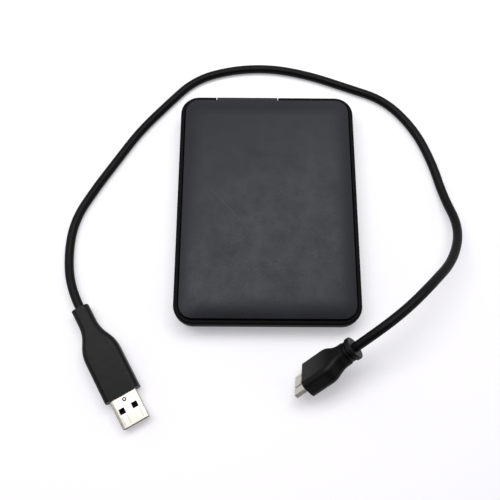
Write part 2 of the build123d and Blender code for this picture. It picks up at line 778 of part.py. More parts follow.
coil_window = sector(
    coil_inner + coil_strand, coil_outer - coil_strand, coil_side - window_angle, coil_side + window_angle
)
coil_plan -= coil_window
nodes["voice_coil"] = parked * slab(coil_plan, coil_bottom, coil_top)
nodes["pivot_bearing"] = pivot * ring(bearing_radius, pivot_radius + running_gap, hub_bottom, block_top)
suspension_levels = [
    lower_arm_top,
    middle_arm_bottom - suspension_thickness,
    middle_arm_top,
    upper_arm_bottom - suspension_thickness,
]
suspension_plan = polygon(
    (arm_length - 5, -2.0), (arm_length, -2.0), (head_radius - 1, -0.7), (head_radius, -0.4),
    (tab_radius, -0.4), (tab_radius, 0.4), (head_radius, 0.4), (head_radius - 1, 0.7),
    (arm_length, 2.0), (arm_length - 5, 2.0),
)
suspension_plan -= Pos(arm_length - 2.4, 0) * Circle(0.8)
suspensions = []
sliders = []
for index, bottom in enumerate(suspension_levels):
    top = bottom + suspension_thickness
    suspensions.append(parked * slab(suspension_plan, bottom, top))
    slider_bottom = top if index in (0, 2) else bottom - slider_height
    slider = block(head_radius - 1.1, head_radius, -0.4, 0.4, slider_bottom, slider_bottom + slider_height)
    sliders.append(parked * slider)
nodes["head_suspensions"] = bundle(*suspensions)
nodes["head_sliders"] = bundle(*sliders)

# Voice-coil motor and pivot: fixed pieces round the actuator
lower_yoke_top = well_floor + yoke_thickness
lower_magnet_top = coil_bottom - coil_gap
upper_magnet_bottom = coil_top + coil_gap
magnet_thickness = lower_magnet_top - lower_yoke_top
upper_yoke_bottom = upper_magnet_bottom + magnet_thickness
yoke_plan = sector(yoke_inner, yoke_outer, yoke_start, yoke_end)
magnet_plan = sector(
    yoke_inner + 0.5, yoke_outer - 0.4, yoke_start + magnet_angle, yoke_end - magnet_angle
)
lower_yoke = slab(yoke_plan, well_floor, lower_yoke_top)
stops = []
for angle in (yoke_start + post_angle, yoke_end - post_angle):
    x, y = polar(post_ring, angle)
    lower_yoke += disc(post_radius, lower_yoke_top, upper_yoke_bottom, x, y)
    stop = ring(post_radius + stop_wall, post_radius, lower_yoke_top, upper_yoke_bottom, x, y)
    stops.append(pivot * stop)
nodes["lower_yoke"] = pivot * lower_yoke
nodes["upper_yoke"] = pivot * slab(yoke_plan, upper_yoke_bottom, upper_yoke_bottom + yoke_thickness)
nodes["lower_magnet"] = pivot * slab(magnet_plan, lower_yoke_top, lower_magnet_top)
nodes["upper_magnet"] = pivot * slab(magnet_plan, upper_magnet_bottom, upper_yoke_bottom)
nodes["crash_stops"] = bundle(*stops)
pivot_shaft = disc(pivot_radius, well_floor, lid_under)
pivot_shaft -= disc(lid_screw_radius + screw_gap, lid_screw_end, lid_under)
nodes["pivot_shaft"] = pivot * pivot_shaft

# Ramp that holds the head tabs when parked, filter, and the flex lead to the heads
ramp_post = sector(ramp_inner, ramp_outer, ramp_start, ramp_end)
ramp = slab(ramp_post, well_floor, block_top)
shelf = sector(head_radius + 0.6, ramp_inner + 0.3, ramp_start, ramp_end)
shelf_room = head_room - suspension_thickness - ramp_play
for level in (lower_disc, upper_disc):
    ramp += slab(shelf, level - shelf_room, level + disc_thickness + shelf_room)
nodes["load_ramp"] = pivot * ramp
filter_x = bay_left + 5.0
filter_y = bay_step_y - 3.5
nodes["air_filter"] = block(
    filter_x - 4, filter_x + 4, filter_y - 3, filter_y + 3, well_floor, casting_top - 1.0
)
bracket_x = pivot_x - bracket_reach
bracket_y = bay_step_y - bracket_step
bracket_top = well_floor + 2.2
nodes["flex_bracket"] = block(
    bracket_x - 6, bracket_x + 5, bracket_y - 2.2, bracket_y + 2.2, well_floor, bracket_top
)
flex_turn = 138.0
flex_dx, flex_dy = polar(arm_hub_radius + 0.3, flex_turn)
flex_start = (bracket_x, bracket_y)
flex_end = (pivot_x + flex_dx, pivot_y + flex_dy)
flex_middle = ((flex_start[0] + flex_end[0]) / 2 - 2.0, (flex_start[1] + flex_end[1]) / 2 - 2.4)
flex_line = ThreePointArc(flex_start, flex_middle, flex_end)
flex_plan = trace(flex_line, line_width=0.2)
nodes["head_flex"] = slab(flex_plan, bracket_top, bracket_top + 2.4)

# Circuit board under the casting, with its chips, light and screws
board_rear = drive_rear - board_edge_gap
board_start = board_front + board_edge_gap
board_plan = Rectangle(2 * (recess_half - board_edge_gap), board_rear - board_start)
board_plan = Pos(0, (board_rear + board_start) / 2) * board_plan
board_plan -= Pos(0, spindle_y) * Circle(motor_boss + board_edge_gap)
board = slab(board_plan, board_bottom, board_top)
board_screws = []
for x, y in board_holes:
    board -= disc(lid_screw_radius + screw_gap, board_bottom, board_top, x, y)
    screw = disc(board_screw_head, board_bottom - board_screw_head_height, board_bottom, x, y)
    screw += disc(lid_screw_radius, board_bottom, board_screw_top - 0.1, x, y)
    board_screws.append(screw)
nodes["circuit_board"] = board
nodes["board_screws"] = bundle(*board_screws)
chip_top = board_top + board_part_height - 0.15
chip_sizes = [
    (-12.0, 28.0, 11.0, 11.0), (6.0, 26.0, 7.0, 10.0), (17.0, 38.0, 7.0, 7.0),
    (-20.0, 42.0, 5.0, 6.0), (20.0, 18.0, 6.0, 5.0), (-4.0, 14.0, 4.0, 3.0),
]
small_parts = [(-24.0 + 3.0 * index, 19.5) for index in range(5)]
small_parts += [(0.0 + 3.0 * index, 36.0) for index in range(4)]
chips = []
for x, distance, wide, long in chip_sizes:
    rear = board_rear - distance + long / 2
    chips.append(block(x - wide / 2, x + wide / 2, rear - long, rear, board_top, chip_top))
part_top = board_top + small_part_height
for x, distance in small_parts:
    rear = board_rear - distance
    chips.append(block(x, x + small_part_width, rear - small_part_length, rear, board_top, part_top))
nodes["board_chips"] = bundle(*chips)
led_rear = pipe_rear - light_gap
led_side = light_width / 2
nodes["status_led"] = block(
    pipe_x - led_side, pipe_x + led_side, led_rear - light_size, led_rear,
    board_top, board_top + light_height,
)

# Micro-B socket on the rear edge of the board
socket_plane = Plane(origin=(tongue_centre, socket_front, port_height), x_dir=(1, 0, 0), z_dir=(0, -1, 0))
socket_shell = extrude(socket_plane * micro_section(micro_fit + micro_wall), amount=socket_depth)
socket_shell -= extrude(socket_plane * micro_section(micro_fit), amount=socket_depth)
nodes["usb_socket_shell"] = socket_shell
socket_back = 1.0
back_plane = socket_plane.offset(socket_depth - socket_back)
insert = extrude(back_plane * micro_section(micro_fit), amount=socket_back)
main_centre = -micro_width / 2 + micro_main_width / 2
side_centre = micro_width / 2 - micro_side_width / 2
tongue_start = socket_plane.offset(1.0)
tongue_reach = socket_depth - socket_back - 1.0
main_tongue = micro_main_width * 0.55
side_tongue = micro_side_width * 0.55
for centre, wide in ((main_centre, main_tongue), (side_centre, side_tongue)):
    insert += extrude(tongue_start * Pos(centre, 0) * Rectangle(wide, micro_tongue), amount=tongue_reach)
nodes["usb_socket_tongue"] = insert
contacts = []
contact_pitch_main = main_tongue / 5
contact_pitch_side = side_tongue / 5
contact_level = micro_tongue / 2 + 0.03
for centre, pitch in ((main_centre, contact_pitch_main), (side_centre, contact_pitch_side)):
    for index in range(5):
        x = centre + (index - 2) * pitch
        strip = tongue_start.offset(0.3) * Pos(x, contact_level) * Rectangle(pitch * 0.5, 0.06)
        contacts.append(extrude(strip, amount=tongue_reach - 0.3))
nodes["usb_socket_contacts"] = bundle(*contacts)

# USB-A plug, drawn along +X from the cable end of its overmould
neck_a = (plug_a_neck_width, plug_a_neck_thickness)
grip_a = (plug_a_width, plug_a_thickness)
overmould_a = moulded_body(0, plug_a_neck, plug_a_shoulder, plug_a_length, neck_a, grip_a, plug_a_round)
shell_a_start = plug_a_length - shell_grip
shell_a_total = shell_grip + shell_a_length
shell_plane_a = across(shell_a_start)
shell_a_plan = RectangleRounded(shell_a_width, shell_a_height, 0.5)
bore_width = shell_a_width - 2 * shell_a_wall
bore_height = shell_a_height - 2 * shell_a_wall
shell_a_bore = RectangleRounded(bore_width, bore_height, 0.25)
overmould_a -= extrude(shell_plane_a * shell_a_plan, amount=shell_a_total)
shell_a = extrude(shell_plane_a * (shell_a_plan - shell_a_bore), amount=shell_a_total)
window_x = plug_a_length + window_distance
for y in (-window_spacing / 2, window_spacing / 2):
    half = window_size / 2
    shell_a -= block(window_x - half, window_x + half, y - half, y + half, -shell_a_height, shell_a_height)
mark_top = shell_a_height / 2
shell_a -= ring(mark_radius, mark_inner, mark_top - mark_depth, mark_top, plug_a_length + mark_distance)
tongue_a = block(
    shell_a_start, plug_a_length + shell_a_length - 0.6, -bore_width / 2 + 0.2, bore_width / 2 - 0.2,
    -bore_height / 2, -0.1,
)
contacts_a = []
contact_start = window_x + window_size / 2 + 0.3
contact_end = plug_a_length + shell_a_length - 1.0
for y in (-3.5, -1.0, 1.0, 3.5):
    contacts_a.append(block(contact_start, contact_end, y - 0.5, y + 0.5, -0.1, 0.0))
plug_a_height = -overmould_a.bounding_box().min.Z
place_a = Pos(plug_a_x, plug_a_y, plug_a_height) * Rot(0, 0, plug_a_angle)
nodes["usb_a_overmould"] = place_a * overmould_a
nodes["usb_a_shell"] = place_a * shell_a
nodes["usb_a_tongue"] = place_a * tongue_a
nodes["usb_a_contacts"] = bundle(*[place_a * contact for contact in contacts_a])

# Micro-B plug, drawn along +X from the flange where the cable enters
boot_end = plug_b_flange_length + plug_b_collar_length
neck_b = (plug_b_neck_width, plug_b_neck_thickness)
grip_b = (plug_b_width, plug_b_thickness)
overmould_b = moulded_body(
    boot_end, plug_b_neck, plug_b_shoulder, plug_b_length, neck_b, grip_b, plug_b_round
)
flange = extrude(across(0) * Circle(plug_b_flange), amount=plug_b_flange_length)
overmould_b += fillet(flange.edges().group_by(Axis.X)[0], plug_b_flange_round)
collar = extrude(across(0) * Circle(plug_b_collar), amount=boot_end + plug_b_neck)
slot_ring = Circle(plug_b_flange) - Circle(plug_b_collar - plug_b_slot_depth)
slot_pitch = plug_b_collar_length / 2
for index in range(2):
    slot_start = plug_b_flange_length + slot_pitch * index + (slot_pitch - plug_b_slot) / 2
    collar -= extrude(across(slot_start) * slot_ring, amount=plug_b_slot)
overmould_b += collar
shell_b_start = plug_b_length - shell_grip
shell_b_total = shell_grip + shell_b_length
shell_plane_b = across(shell_b_start)
overmould_b -= extrude(shell_plane_b * micro_section(0), amount=shell_b_total)
shell_b = extrude(shell_plane_b * (micro_section(0) - micro_section(-micro_wall)), amount=shell_b_total)
latch_start = plug_b_length + latch_distance
latch_face = micro_height / 2
latch_plan = polygon(
    (latch_start, latch_face), (latch_start + latch_length, latch_face), (latch_start, latch_face + latch_rise)
)
latch = extrude(Plane.XZ * latch_plan, amount=latch_width / 2, both=True)
for sign in (-1, 1):
    shell_b += Pos(0, main_centre + sign * latch_spread, 0) * latch
insert_b = extrude(shell_plane_b * micro_section(-micro_wall), amount=shell_b_total - 0.3)
slot_plane = across(plug_b_length + 1.0)
for centre, wide in ((main_centre, main_tongue), (side_centre, side_tongue)):
    slot = slot_plane * Pos(centre, 0) * Rectangle(wide + 0.3, micro_tongue + 0.35)
    insert_b -= extrude(slot, amount=shell_b_length)
lean_b = Rot(0, 0, plug_b_yaw) * Rot(0, plug_b_tilt, 0) * Rot(plug_b_roll, 0, 0)
lowest = min((lean_b * piece).bounding_box().min.Z for piece in (overmould_b, shell_b))
plug_b_height = -lowest
place_b = Pos(plug_b_x, plug_b_y, plug_b_height) * lean_b
nodes["micro_b_overmould"] = place_b * overmould_b
nodes["micro_b_shell"] = place_b * shell_b
nodes["micro_b_insert"] = place_b * insert_b

# Cable: straight runs joined by tangent arcs, from one plug round the drive to the other
cable_level = cable_diameter / 2
floor_points = [
    (-92.0, -22.0), (-90.0, -4.5), (-82.0, 11.5), (-72.5, 26.0), (-62.0, 41.5), (-50.0, 57.0),
    (-35.5, 70.0), (-17.5, 77.0), (2.5, 77.5), (22.0, 74.0), (40.5, 68.0), (58.0, 58.5),
    (72.0, 44.5), (79.5, 26.5), (84.5, 8.5),
]
rising_points = [(88.0, -8.5, 4.6), (82.4, -25.9, 12.0), (69.5, -39.8, 22.0), (56.6, -50.5, 29.0)]
exit_a = Vector(plug_a_x, plug_a_y, plug_a_height)
out_a = Vector(*polar(-lead_run_a, plug_a_angle), 0)
exit_b = Vector(plug_b_x, plug_b_y, plug_b_height)
level_run = math.cos(math.radians(plug_b_tilt)) * lead_run_b
rise_b = math.sin(math.radians(plug_b_tilt)) * lead_run_b
out_b = Vector(*polar(-level_run, plug_b_yaw), rise_b)
route = [exit_a, exit_a + out_a]
route += [Vector(x, y, cable_level) for x, y in floor_points]
route += [Vector(*point) for point in rising_points]
route += [exit_b + out_b, exit_b]
radii = []
for before, here, after in zip(route, route[1:], route[2:]):
    turn = math.radians((here - before).get_angle(after - here))
    shorter = min((here - before).length, (after - here).length)
    radii.append(0.45 * shorter / math.tan(turn / 2))
cable_path = FilletPolyline(*route, radius=radii)
cable_start = Plane(origin=cable_path @ 0, z_dir=cable_path % 0)
cable = sweep(cable_start * Circle(cable_diameter / 2), path=cable_path)
nodes["cable"] = cable
cable_volume = math.pi * cable_level ** 2 * cable_path.length
print("cable length", round(cable_path.length, 1), "volume ratio", round(cable.volume / cable_volume, 4))
print("cable radii", [round(radius, 1) for radius in radii])
print("cable route", [tuple(round(value, 2) for value in point) for point in route])

os.makedirs("parts", exist_ok=True)
for name, shape in nodes.items():
    shape.label = name
    export_step(shape, "parts/" + name + ".step")
print(len(nodes), "sub-parts")
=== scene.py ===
"""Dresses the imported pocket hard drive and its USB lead, and sets them on a pale floor."""
import json
import math

import bmesh
import bpy
from mathutils import Matrix, Vector

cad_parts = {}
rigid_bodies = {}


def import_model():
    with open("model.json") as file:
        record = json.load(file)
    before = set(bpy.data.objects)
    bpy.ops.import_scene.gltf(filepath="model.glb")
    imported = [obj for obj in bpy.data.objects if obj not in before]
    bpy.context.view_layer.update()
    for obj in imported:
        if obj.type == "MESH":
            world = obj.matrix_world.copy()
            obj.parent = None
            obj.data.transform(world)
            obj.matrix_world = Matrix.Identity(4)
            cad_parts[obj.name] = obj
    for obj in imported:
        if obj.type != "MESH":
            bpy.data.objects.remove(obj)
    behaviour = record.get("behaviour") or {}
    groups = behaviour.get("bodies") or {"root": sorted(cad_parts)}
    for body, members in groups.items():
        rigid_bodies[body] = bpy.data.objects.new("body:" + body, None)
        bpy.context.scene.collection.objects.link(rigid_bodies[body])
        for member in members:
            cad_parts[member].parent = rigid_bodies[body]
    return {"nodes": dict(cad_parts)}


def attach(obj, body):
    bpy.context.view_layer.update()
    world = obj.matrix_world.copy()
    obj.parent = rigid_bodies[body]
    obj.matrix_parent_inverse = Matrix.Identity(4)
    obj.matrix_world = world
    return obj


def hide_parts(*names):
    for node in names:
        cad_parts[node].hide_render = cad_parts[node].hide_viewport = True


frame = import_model()

bl_info = {
    "name": "Pocket hard drive and lead",
    "version": (1, 0, 0),
    "blender": (4, 5, 0),
    "location": "3D View > Sidebar > Pocket drive",
    "description": "Finishes a pocket hard drive and its USB lead, and lights them on a pale floor",
    "category": "Object",
}

ORIGIN = (0.0, 0.0, 0.0)
PLAIN = (1.0, 1.0, 1.0)

# Points of the lead in metres, from the big plug round the drive to the small plug
LEAD_POINTS = (
    (-0.08260, -0.04720, 0.00400), (-0.08758, -0.03853, 0.00400), (-0.09090, -0.02200, 0.00205),
    (-0.08950, -0.00480, 0.00205), (-0.08110, 0.01090, 0.00205), (-0.07190, 0.02550, 0.00205),
    (-0.06190, 0.04140, 0.00205), (-0.04920, 0.05610, 0.00205), (-0.03580, 0.07050, 0.00205),
    (-0.01750, 0.07650, 0.00205), (0.00250, 0.07760, 0.00205), (0.02190, 0.07350, 0.00205),
    (0.04000, 0.06680, 0.00205), (0.05880, 0.05980, 0.00205), (0.07210, 0.04450, 0.00205),
    (0.07960, 0.02660, 0.00205), (0.08370, 0.00820, 0.00205), (0.08770, -0.00960, 0.00800),
    (0.08020, -0.02760, 0.01800), (0.06730, -0.04050, 0.02700), (0.05670, -0.05060, 0.02890),
    (0.04471, -0.05988, 0.02866), (0.03510, -0.06610, 0.02151),
)
CABLE_STEPS = 12
CABLE_SIDES = 6

# Marks of use on the cover plate, seen from above: their ends, and how wide and how deep they are
PLATE_SCRATCH = ((-0.0272, 0.0081), (-0.0092, -0.0123))
SCRATCH_WIDTH = 0.00035
PLATE_RUBS = (
    ((0.0105, 0.0210), (0.0185, 0.0165)), ((0.0060, -0.0330), (0.0085, -0.0440)),
    ((-0.0190, -0.0260), (-0.0105, -0.0295)),
)
RUB_WIDTH = 0.0003
RUB_DEPTH = 0.5
# How much of the worn tone marks and dust show, and how far marks smooth and raise the plate
WORN_TONE = 2.2
MARK_SHARE = 0.42
DUST_SHARE = 0.30
MARK_GLOSS = 0.06
MARK_RELIEF = 0.25
# Leathery grain of the plate, and how far grain and smears move the roughness of plate and tray
LEATHER_SHARE = 0.5
LEATHER_TONE = 0.5
LEATHER_SWING = 0.12
SMEAR_SWING = 0.20
TRAY_SWING = 0.04
# The plate's cool sheen, and how much of its rolled edge's lean across, along and up its shading shows
PLATE_TINT = (0.89, 0.91, 1.0, 1.0)
PLATE_LEAN = (0.70, 0.62, 1.0)

# Stretch of a grain into the lines of drawn and of rolled metal, and the way that the big plug points
DRAWN_LINES = (0.03, 1.0, 1.0)
ROLLED_LINES = (1.0, 0.03, 1.0)
PLUG_A_TURN = math.radians(-60.1)
# Marks on the big plug's shell: painted shade along its rolled side, wear lines below its windows, and a
# painted shade ring in its stamped dimple
SHELL_SIDE_SHADE = ((-0.06670, -0.08532), (-0.05817, -0.10015))
SIDE_SHADE_WIDTH = 0.0010
SIDE_SHADE_SHARE = 0.9
SIDE_SHADE_TONE = 0.30
SHELL_LINES = (
    ((-0.05900, -0.09165), (-0.05641, -0.09616)), ((-0.05397, -0.08876), (-0.05138, -0.09327)),
    ((-0.06108, -0.09285), (-0.05849, -0.09736)),
)
LINE_WIDTH = 0.0003
LINE_SHARE = 0.7
LINE_TONE = 0.45
SHELL_RING = (-0.06022, -0.08612, 0.0)
RING_PLAN = (1.0, 1.0, 0.0)
RING_OUTER_EDGE = (0.00105, 0.00080)
RING_INNER_EDGE = (0.00025, 0.00040)
RING_SHADE_TONE = 0.06

# Share of a hairline's half length, and of a dot's radius, that is at full strength
HAIRLINE_CORE = 0.55
DOT_CORE = 0.5
# A Mix node's sockets for colours, by number because its sockets for numbers have the same names
MIX_SHARE = 0
MIX_FIRST = 6
MIX_SECOND = 7
MIX_RESULT = 2

# Darkest and lightest tones of small parts
PIPE_TONES = ((0.62, 0.66, 0.70, 1.0), (0.80, 0.83, 0.86, 1.0))
LIGHT_TONES = ((0.70, 0.68, 0.52, 1.0), (0.82, 0.80, 0.66, 1.0))
DISC_TONES = ((0.70, 0.70, 0.71, 1.0), (0.78, 0.78, 0.79, 1.0))
MAGNET_TONES = ((0.46, 0.45, 0.43, 1.0), (0.58, 0.57, 0.54, 1.0))
CERAMIC_TONES = ((0.020, 0.020, 0.022, 1.0), (0.040, 0.040, 0.042, 1.0))
RAMP_TONES = ((0.66, 0.65, 0.60, 1.0), (0.76, 0.75, 0.71, 1.0))
FELT_TONES = ((0.52, 0.52, 0.50, 1.0), (0.80, 0.80, 0.78, 1.0))
BRACKET_TONES = ((0.010, 0.010, 0.011, 1.0), (0.018, 0.018, 0.019, 1.0))
FILM_TONES = ((0.40, 0.17, 0.03, 1.0), (0.52, 0.24, 0.05, 1.0))
CHIP_TONES = ((0.012, 0.012, 0.012, 1.0), (0.024, 0.024, 0.024, 1.0))
TRACK_TONE = 2.2
TRACK_EDGE = (0.02, 0.06)

# The room's dim side, low in front of the drive, and where it, its lower edge and the ceiling set in
SHADED_SIDE = (0.0, -0.90, 0.43)
SHADE_EDGE = (0.36, 0.86)
HORIZON = (0.03, 0.14)
CEILING = (0.45, 0.80)
FLOOR_HALF_SIDE = 4.0
SENSOR_WIDTH = 36.0
CAMERA_RANGE = (0.01, 50.0)
SPARE_OBJECTS = ("Cube", "Light", "Camera")


class Wire:
    """A shader value that takes part in plain arithmetic."""

    def __init__(self, tree, socket=None):
        self.tree = tree
        self.socket = socket

    def feed(self, socket, value):
        """Link a socket to a value that varies, or set it to a plain one."""
        if isinstance(value, Wire):
            self.tree.links.new(value.socket, socket)
        else:
            socket.default_value = value

    def node(self, kind, settings=None, sockets=None, output=0):
        """Add a node of a kind, set it up, feed its sockets and return one of its outputs."""
        made = self.tree.nodes.new("ShaderNode" + kind)
        for name, value in (settings or {}).items():
            setattr(made, name, value)
        for key, value in (sockets or {}).items():
            self.feed(made.inputs[key], value)
        return Wire(self.tree, made.outputs[output])

    def math(self, operation, first, second=0.0):
        return self.node("Math", {"operation": operation}, {0: first, 1: second})

    def band(self, low, high, to_low=0.0, to_high=1.0):
        """This value as a smooth step between two levels."""
        return self.node(
            "MapRange", {"interpolation_type": "SMOOTHSTEP"},
            {"Value": self, "From Min": low, "From Max": high, "To Min": to_low, "To Max": to_high},
        )

    def part(self, axis):
        """The part of this vector along an axis."""
        return self.node("SeparateXYZ", None, {0: self}, axis)

    def __add__(self, other):
        return self.math("ADD", self, other)

    def __radd__(self, other):
        return self.math("ADD", other, self)

    def __sub__(self, other):
        return self.math("SUBTRACT", self, other)

    def __rsub__(self, other):
        return self.math("SUBTRACT", other, self)

    def __mul__(self, other):
        return self.math("MULTIPLY", self, other)

    def __rmul__(self, other):
        return self.math("MULTIPLY", other, self)


class Finish:
    """A new material with one Principled surface."""

    def __init__(self, name):
        self.material = bpy.data.materials.new(name)
        self.material.use_nodes = True
        tree = self.material.node_tree
        tree.nodes.clear()
        self.wire = Wire(tree)
        self.surface = tree.nodes.new("ShaderNodeBsdfPrincipled")
        send_out("Material", Wire(tree, self.surface.outputs[0]))

    def place(self, turn=0.0, centre=ORIGIN, stretch=PLAIN):
        """Object coordinates, centred, turned about the upright and stretched."""
        coords = self.wire.node("TexCoord", output="Object")
        if (turn, centre, stretch) == (0.0, ORIGIN, PLAIN):
            return coords
        moved = self.wire.node("VectorMath", {"operation": "SUBTRACT"}, {0: coords, 1: centre})
        return self.wire.node(
            "Mapping", {"vector_type": "POINT"},
            {"Vector": moved, "Rotation": (0.0, 0.0, -turn), "Scale": stretch},
        )

    def grain(self, scale, detail=2.0, roughness=0.5, at=None):
        """Even noise from 0 to 1 with a feature size of one over the scale."""
        return self.wire.node(
            "TexNoise", {"noise_dimensions": "3D"},
            {"Vector": at or self.place(), "Scale": scale, "Detail": detail, "Roughness": roughness},
        )

    def blend(self, share, first, second):
        """Mix two colours by a share."""
        sockets = {MIX_SHARE: share, MIX_FIRST: first, MIX_SECOND: second}
        return self.wire.node("Mix", {"data_type": "RGBA"}, sockets, MIX_RESULT)

    def hairline(self, start, end, width):
        """A thin straight mark between two points seen from above: 1 on it and 0 beside it."""
        across, along = end[0] - start[0], end[1] - start[1]
        middle = ((start[0] + end[0]) / 2, (start[1] + end[1]) / 2, 0.0)
        spot = self.place(turn=math.atan2(along, across), centre=middle)
        half = math.hypot(across, along) / 2
        offset = self.wire.math("ABSOLUTE", spot.part("Y"))
        reach = self.wire.math("ABSOLUTE", spot.part("X"))
        return offset.band(width, 0.0) * reach.band(half, half * HAIRLINE_CORE)

    def specks(self, scale, size):
        """Sparse round dots: 1 in a dot and 0 beside it."""
        near = self.wire.node(
            "TexVoronoi", {"feature": "F1"}, {"Vector": self.place(), "Scale": scale, "Randomness": 1.0}
        )
        return near.band(size, size * DOT_CORE)

    def bump(self, height, strength, distance, normal=None):
        """Tilt the surface, or a normal given for it, by a height map."""
        sockets = {"Strength": strength, "Distance": distance, "Height": height}
        if normal:
            sockets["Normal"] = normal
        return self.wire.node("Bump", None, sockets)

    def eased(self, lean):
        """The surface's normal with its parts along the object's axes made longer or shorter."""
        own = self.wire.node("NewGeometry", output="Normal")
        turned = self.turned(own, "WORLD", "OBJECT")
        scaled = self.wire.node("VectorMath", {"operation": "MULTIPLY"}, {0: turned, 1: lean})
        return self.turned(scaled, "OBJECT", "WORLD")

    def turned(self, normal, old_space, new_space):
        """A normal read in another space."""
        settings = {"vector_type": "NORMAL", "convert_from": old_space, "convert_to": new_space}
        return self.wire.node("VectorTransform", settings, {0: normal})

    def set(self, **values):
        """Feed or set sockets of the surface, written with underscores for spaces."""
        for key, value in values.items():
            self.wire.feed(self.surface.inputs[key.replace("_", " ")], value)
        return self.material


def send_out(kind, shader):
    """Send a shader to the output of its material or world."""
    output = shader.tree.nodes.new("ShaderNodeOutput" + kind)
    shader.tree.links.new(shader.socket, output.inputs["Surface"])


def shade(colour, factor):
    """A colour made lighter or darker by a factor."""
    return tuple(min(1.0, part * factor) for part in colour[:3]) + (1.0,)


def tones(colour, dark, light):
    """A darker and a lighter tone of a colour."""
    return shade(colour, dark), shade(colour, light)


def between(share, low, high):
    """A number that runs from low to high with a share."""
    return low + (high - low) * share


def swing(share, amount):
    """A number that runs as far below zero as above it with a share."""
    return between(share, -amount, amount)


def grained(name, ends, roughness, grain, cloud=None, relief=None, stretch=PLAIN, **plain):
    """A material with two end tones, and a lowest and highest roughness that run with a grain.

    The relief runs with the grain too, and so do the tones where no cloud is given for them.
    """
    finish = Finish(name)
    fine = finish.grain(**grain, at=finish.place(stretch=stretch))
    share = finish.grain(**cloud) if cloud else fine
    finish.set(Base_Color=finish.blend(share, *ends), Roughness=between(fine, *roughness), **plain)
    if relief:
        finish.set(Normal=finish.bump(fine, **relief))
    return finish.material


def dress(material, *names):
    """Give CAD nodes a material."""
    for name in names:
        node = frame["nodes"][name]
        if not node.material_slots:
            node.data.materials.append(material)
        for slot in node.material_slots:
            slot.material = material


def colour_property(name, description, red, green, blue):
    """A colour that a user may change, in linear light."""
    return bpy.props.FloatVectorProperty(
        name=name, description=description, subtype="COLOR", size=4, min=0.0, max=1.0,
        default=(red, green, blue, 1.0),
    )


def share_property(name, description, default):
    """A number from 0 to 1 that a user may change."""
    return bpy.props.FloatProperty(
        name=name, description=description, default=default, min=0.0, max=1.0, subtype="FACTOR"
    )


class DRIVE_PG_housing(bpy.types.PropertyGroup):
    """Finishes of the plate, the tray and their small parts"""

    plate_colour: colour_property("Plate", "Colour of the satin cover plate", 0.0105, 0.0108, 0.0125)
    plate_roughness: share_property("Plate roughness", "How matt the cover plate is", 0.46)
    tray_colour: colour_property("Tray", "Colour of the bottom tray", 0.0020, 0.0020, 0.0022)
    tray_roughness: share_property("Tray roughness", "How matt the bottom tray is", 0.62)
    foot_colour: colour_property("Feet", "Colour of the rubber feet", 0.0120, 0.0120, 0.0125)


class DRIVE_PG_inner(bpy.types.PropertyGroup):
    """Finishes of the inner drive and its board"""

    cast_colour: colour_property("Casting", "Colour of cast aluminium", 0.42, 0.42, 0.43)
    steel_colour: colour_property("Steel", "Colour of bright steel", 0.60, 0.60, 0.59)
    board_colour: colour_property("Board", "Colour of the circuit board's mask", 0.012, 0.060, 0.030)
    copper_colour: colour_property("Copper", "Colour of the windings", 0.62, 0.27, 0.12)
    gold_colour: colour_property("Gold", "Colour of plated contacts", 0.80, 0.55, 0.22)


class DRIVE_PG_lead(bpy.types.PropertyGroup):
    """Sizes and finishes of the lead"""

    cable_diameter: bpy.props.FloatProperty(
        name="Cable diameter", description="Outside diameter of the jacket",
        default=0.0041, min=0.001, max=0.01, unit="LENGTH", precision=4,
    )
    cable_length: bpy.props.FloatProperty(
        name="Cable length", description="Length of the cable between its plugs",
        default=0.3973, min=0.05, max=3.0, unit="LENGTH", precision=4,
    )
    jacket_colour: colour_property("Jacket", "Colour of the cable's jacket", 0.0020, 0.0020, 0.0022)
    grip_colour: colour_property("Grips", "Colour of the moulded plugs", 0.0022, 0.0022, 0.0024)
    shell_colour: colour_property("Shells", "Colour of the plated shells", 0.535, 0.512, 0.458)
    # Partly the tongue's navy, partly painted shade: darkened to near black for the shade inside the shell
    tongue_colour: colour_property("Tongue", "Colour inside the big plug", 0.002, 0.0025, 0.010)


